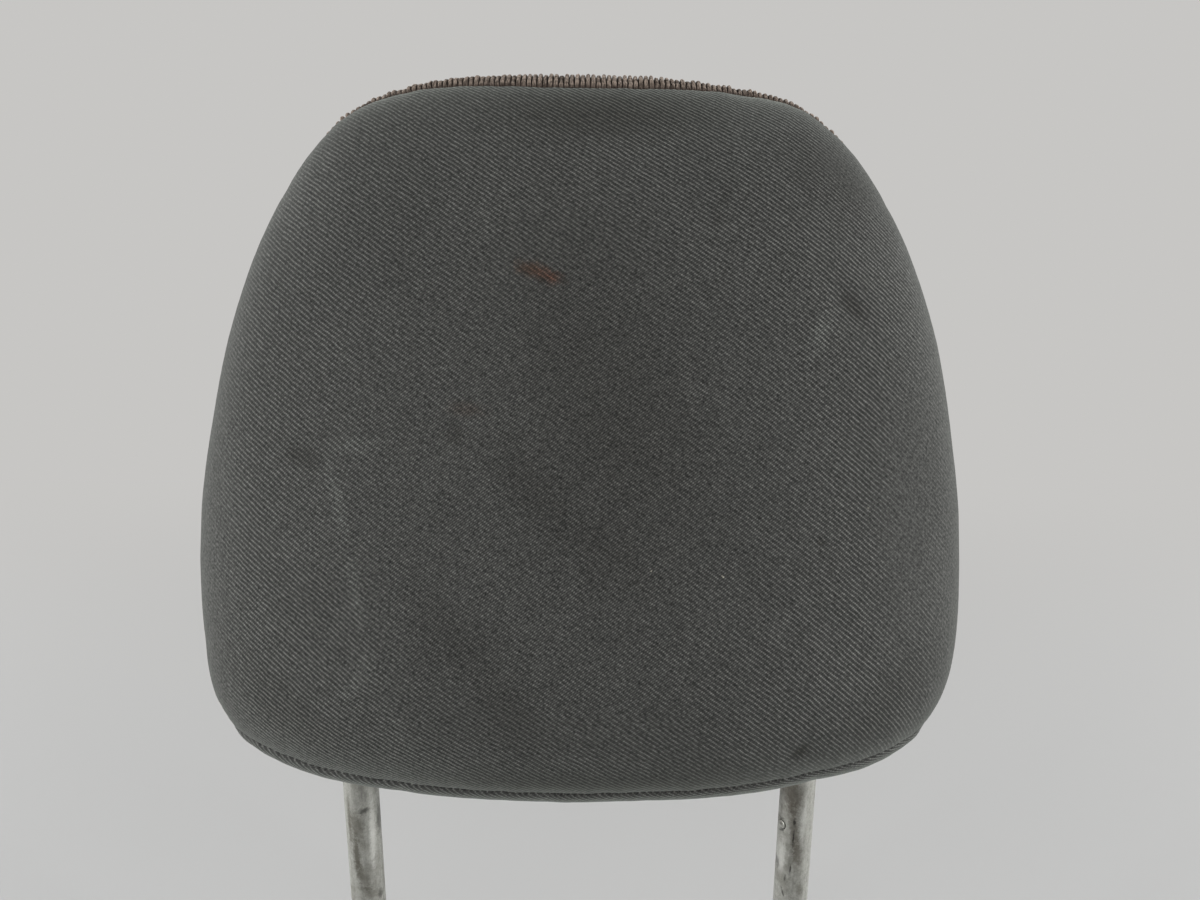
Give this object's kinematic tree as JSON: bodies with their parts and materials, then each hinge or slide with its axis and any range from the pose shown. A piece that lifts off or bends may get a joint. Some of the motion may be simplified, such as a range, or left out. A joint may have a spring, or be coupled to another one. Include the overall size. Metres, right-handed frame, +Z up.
{
  "type": "car headrest",
  "caption": "Padded car headrest with a twill rear cover, a ribbed velour front and steel posts that slide into the seat back.",
  "frame": {"origin": "midway between the axes of the two posts, on the plane of their lower ends", "axes": "+Z up along the posts, +Y towards the velour front that the head leans on, and +X to the right as seen from the rear"},
  "size_m": [0.26, 0.1101, 0.4036],
  "materials": {
    "post_steel": "dull, worn and stained",
    "wire_steel": "bare drawn wire",
    "foam": "moulded polyurethane foam",
    "twill": "dark grey woven twill, worn",
    "velour": "brown and beige ribbed velour",
    "strip_plastic": "extruded, black"
  },
  "bodies": {
    "root": {"post_frame": "post_steel", "stop_pin": "post_steel", "upper_foam_wire": "wire_steel", "lower_foam_wire": "wire_steel", "foam_core": "foam", "cover_rear": "twill", "cover_underside": "twill", "cover_front": "velour", "closing_strip_rear": "strip_plastic", "closing_strip_front": "strip_plastic"}
  },
  "joints": []
}
